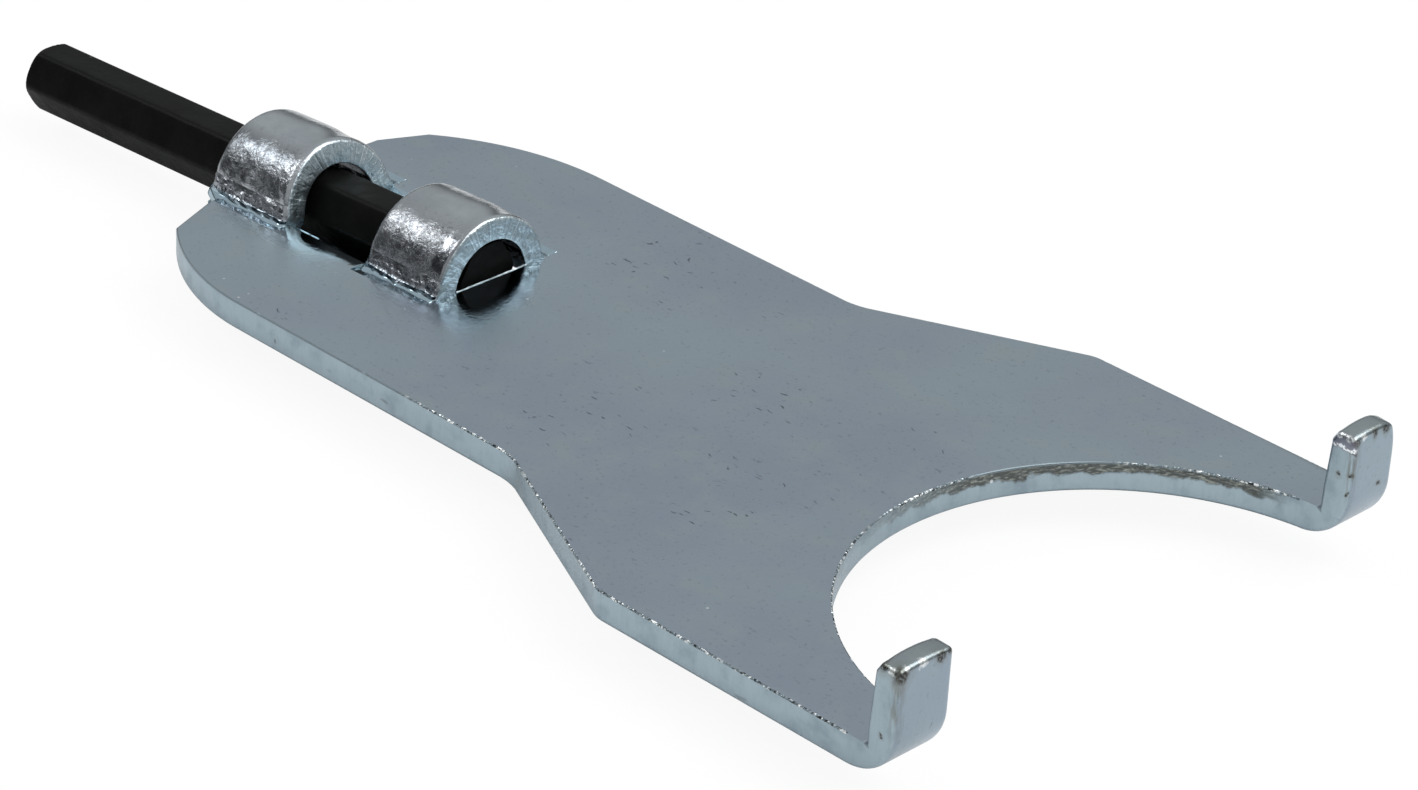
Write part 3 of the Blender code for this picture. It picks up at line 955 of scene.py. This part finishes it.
def shapeStrip(shape, direction, rearX, frontX, tongue, necking, reach, arch, seed):
    length = frontX - rearX
    half = layout["plateThick"] / 2
    crownRise = arch + passage["radius"] + passage["wall"] - half
    middle = passage["radius"] + passage["wall"] / 2
    footFrom = reach * passage["footFrom"]
    moves = {}
    for vert in shape.verts:
        x, y, z = vert.co
        fromSlit = min(x, length - x)
        atFoot = abs(y) > footFrom
        isOuter = z > 0 if atFoot else math.hypot(y, z - arch) > middle
        outward = Vector((0, vert.normal.y, vert.normal.z)).normalized()
        if fromSlit < 1e-7:
            # Corner normals lean along X too, so the wall's own direction is used
            outward = Vector((0, 0, 1)) if atFoot else Vector((0, y, z - arch)).normalized()
            outward *= 1 if isOuter else -1
        # Past the feet the slits' rims are sharp, and at the tail they keep the plate's own edge
        past = within((abs(y) - reach * passage["pastFrom"]) / passage["pastFade"])
        atRear = x < length / 2
        edge = blank["topEdge"] if tongue and atRear else 0.0
        softRim = passage["rimRound"] if atRear or direction < 0 else passage["frontRimRound"]
        rim = (softRim if isOuter else passage["innerRimRound"]) * (1 - past) + edge * past
        push = 0.0
        if fromSlit < rim:
            push -= rim - math.sqrt(max(0.0, rim ** 2 - (rim - fromSlit) ** 2))
        if isOuter:
            spot = Vector((x + seed, y, z)) * 1000
            flank = within((abs(y) - passage["flankFrom"]) / passage["flankFade"]) * (1 - past)
            fromCrumple = abs(abs(y) - reach * passage["crumpleAt"])
            crumpled = within(1 - fromCrumple / passage["crumpleFade"]) * (1 - past)
            push += flank * ripple(spot, "crinkle")
            push += crumpled * ripple(spot, "footCrumple", (7, 3, 1))
            push += flank * ripple(spot, "lumps")
            push -= passage["rearLean"] * (1 - past) * (1 - x / length) ** 2
            if direction > 0:
                # A shallow hollow runs round behind the front rim
                away = (length - x - passage["hollowPlace"]) / passage["hollowWidth"]
                push -= passage["hollow"] * (1 - past) * math.exp(-away * away)
        moves[vert] = outward * push
        # Under the feet the thinner wall grows back to the plate's full thickness
        if atFoot and not isOuter:
            grow = min(1.0, (abs(y) - footFrom) / (reach - footFrom))
            moves[vert].z -= (layout["plateThick"] - passage["wall"]) * grow
    for vert, move in moves.items():
        vert.co += move
    for vert in shape.verts:
        x, y, z = vert.co
        # The crown is drawn back at the front, and the arch runs out into the tongue at the rear
        rise = within((z - half) / crownRise) if direction > 0 else 0.0
        inboard = within((reach + passage["tongueEase"] - abs(y)) / passage["footRound"])
        rear = rearX - tongue * inboard
        vert.co.x = rear + (frontX - necking * rise - rear) * x / length
        vert.co.y += passageY(vert.co.x)
        vert.co.z = z * direction + layout["plateBase"] + half
    faceOutward(shape)
    if shape.calc_volume(signed=True) < 0:
        bmesh.ops.reverse_faces(shape, faces=shape.faces)


def markStrip(shape):
    shape.normal_update()
    for face in shape.faces:
        if abs(face.normal.x) > 0.75:
            face.material_index = slitSlot
        elif abs(face.normal.z) > 0.9995 and abs(face.calc_center_median().z - plateTop) < 2e-5:
            face.material_index = faceSlot
        else:
            face.material_index = formedSlot


def buildStrip(name, direction, rearX, frontX, tongue=0.0, necking=0.0, seed=0.0):
    shape, reach, arch = makeStrip(direction, frontX - rearX)
    shapeStrip(shape, direction, rearX, frontX, tongue, necking, reach, arch, seed)
    markStrip(shape)
    return finishPiece(name, shape, finishes)


def buildWindow():
    shape = bmesh.new()
    bmesh.ops.create_cube(shape, size=1.0)
    for vert in shape.verts:
        vert.co.x = mouthX if vert.co.x > 0 else tailX - passage["windowOverrun"]
        vert.co.y = passageY(vert.co.x) + math.copysign(passage["windowHalf"], vert.co.y)
        middle = plateTop - layout["plateThick"] / 2
        vert.co.z = middle + math.copysign(passage["windowOverrun"], vert.co.z)
    return finishPiece("passageWindow", shape, finishes)


# Burr left standing along the plate's edge in the mouth
lip = {
    "halfLength": 0.0071,
    "steps": 24,
    "profile": ((-0.0004, -0.0003), (0.0004, -0.0003), (0.00005, 0.00016)),
    "ragged": (0.00008, 900),
    "wavy": (0.00012, 500),
}


def buildLip():
    shape = bmesh.new()
    profile = [shape.verts.new((mouthX + x, -lip["halfLength"], plateTop + z)) for x, z in lip["profile"]]
    face = shape.faces.new(profile)
    for step in range(lip["steps"]):
        made = bmesh.ops.extrude_face_region(shape, geom=[face])
        newFace = pick(made["geom"], BMFace)[0]
        bmesh.ops.translate(shape, verts=newFace.verts, vec=(0, 2 * lip["halfLength"] / lip["steps"], 0))
        if step:
            bmesh.ops.delete(shape, geom=[face], context="FACES_ONLY")
        face = newFace
    faceOutward(shape)
    for vert in shape.verts:
        vert.co.y += passageY(mouthX)
        if vert.co.z > plateTop:
            vert.co.z += lip["ragged"][0] * noise.noise(vert.co * lip["ragged"][1])
        vert.co.x += lip["wavy"][0] * noise.noise(vert.co * lip["wavy"][1])
    for face in shape.faces:
        face.material_index = slitSlot
    return finishPiece("mouthLip", shape, finishes)


def cutOut(piece, tool):
    modifier = piece.modifiers.new(tool.name, "BOOLEAN")
    modifier.object = tool
    modifier.operation = "DIFFERENCE"
    modifier.solver = "EXACT"
    bpy.context.view_layer.update()
    shown = piece.evaluated_get(bpy.context.evaluated_depsgraph_get())
    cut = bpy.data.meshes.new_from_object(shown)
    piece.modifiers.clear()
    piece.data = cut
    bpy.data.objects.remove(tool, do_unlink=True)


def addShells(piece, shells):
    # The strips fill the window flush with its sides
    shape = bmesh.new()
    for shell in [piece, *shells]:
        shape.from_mesh(shell.data)
    shape.to_mesh(piece.data)
    shape.free()
    for shell in shells:
        bpy.data.objects.remove(shell, do_unlink=True)


shading = {"creaseFrom": 32, "broadFace": 4e-5, "broadCreaseFrom": 1.5}


def shadeByForm(piece):
    # Broad flat faces keep their own flat shading beside the rounded edges
    shape = bmesh.new()
    shape.from_mesh(piece.data)
    shape.normal_update()
    for face in shape.faces:
        face.smooth = True
    for edge in shape.edges:
        angle = math.degrees(edge.calc_face_angle(0.0))
        broad = max((face.calc_area() for face in edge.link_faces), default=0) > shading["broadFace"]
        edge.smooth = angle <= shading["broadCreaseFrom" if broad else "creaseFrom"]
    shape.to_mesh(piece.data)
    shape.free()


def buildPlate():
    plate = finishPiece("stampedPlate", softenBlank(makeBlank()), finishes)
    print("blank and lugs shaped")
    cutOut(plate, buildWindow())
    strips = [
        buildStrip("frontLoop", 1, frontSlitX, mouthX, seed=0.3),
        buildStrip("trough", -1, rearSlitX, frontSlitX, seed=0.7),
        buildStrip("rearLoop", 1, tailX, rearSlitX, passage["tongue"], passage["necking"], 1.1),
    ]
    addShells(plate, [*strips, buildLip()])
    print("loops and trough set in")
    shadeByForm(plate)
    return plate


# The hex bar
bar = {
    "acrossFlats": 0.0100,
    "length": 0.0990,
    # Depth of each end's rounding and radius of its face, the rear end first
    "ends": ((0.0016, 0.0049), (0.0008, 0.0053)),
    "endSteps": 7,
    "edgeRound": 0.00060,
    "droop": math.radians(1.4),
    "stopGap": 0.0008,
    "frontHeight": 0.0049462,
}


def turnedEnd(depth, faceRadius, corner):
    # A limit on the radius that grows from an end face, each with its way in from there
    turns = [math.radians(90 * turn / bar["endSteps"]) for turn in range(bar["endSteps"] + 1)]
    return [(depth * (1 - math.cos(turn)), faceRadius + (corner - faceRadius) * math.sin(turn))
            for turn in turns]


def buildBar():
    shape = bmesh.new()
    corner = bar["acrossFlats"] / math.sqrt(3)
    bmesh.ops.create_circle(shape, cap_ends=True, segments=6, radius=corner)
    # Corners to the sides, flats up and down
    bmesh.ops.rotate(shape, verts=shape.verts, cent=(0, 0, 0),
                     matrix=Matrix.Rotation(math.radians(30), 3, "Z"))
    soften(shape, shape.verts[:], bar["edgeRound"], 5, "VERTICES")
    flats = [edge for edge in shape.edges if edge.calc_length() > bar["acrossFlats"] / 4]
    bmesh.ops.subdivide_edges(shape, edges=flats, cuts=5)
    bmesh.ops.rotate(shape, verts=shape.verts, cent=(0, 0, 0),
                     matrix=Matrix(((0, 0, 1), (1, 0, 0), (0, 1, 0))))
    half = bar["length"] / 2
    rear, front = [turnedEnd(*end, corner) for end in bar["ends"]]
    stations = [(-half + x, limit) for x, limit in rear]
    stations += [(-half + share * bar["length"], corner) for share in (0.25, 0.5, 0.75)]
    stations += [(half - x, limit) for x, limit in reversed(front)]
    face = shape.faces[:][0]
    bmesh.ops.translate(shape, verts=face.verts, vec=(stations[0][0], 0, 0))
    rings = [list(face.verts)]
    for place, _ in stations[1:]:
        made = bmesh.ops.extrude_face_region(shape, geom=[face])
        newFace = pick(made["geom"], BMFace)[0]
        for vert in newFace.verts:
            vert.co.x = place
        if len(rings) > 1:
            bmesh.ops.delete(shape, geom=[face], context="FACES_ONLY")
        face = newFace
        rings.append(list(face.verts))
    for ring, (_, limit) in zip(rings, stations):
        for vert in ring:
            reach = vert.co.yz.length
            if reach > limit:
                vert.co.y *= limit / reach
                vert.co.z *= limit / reach
    faceOutward(shape)
    frontX = mouthX - bar["stopGap"]
    run = bar["length"] * math.cos(layout["skew"]) * math.cos(bar["droop"])
    middle = frontX - run / 2
    height = layout["plateBase"] + bar["frontHeight"] - run / 2 * math.tan(bar["droop"])
    turn = Matrix.Rotation(layout["skew"], 4, "Z") @ Matrix.Rotation(-bar["droop"], 4, "Y")
    shape.transform(Matrix.Translation((middle, passageY(middle), height)) @ turn)
    piece = finishPiece("hexBar", shape, [oxide])
    shadeByForm(piece)
    return piece


plate = buildPlate()
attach(plate, "plate")
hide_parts("spanner_plate")
print("plate finished,", len(plate.data.polygons), "faces")

hexBar = buildBar()
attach(hexBar, "bar")
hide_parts("hex_bar")
print("bar finished")
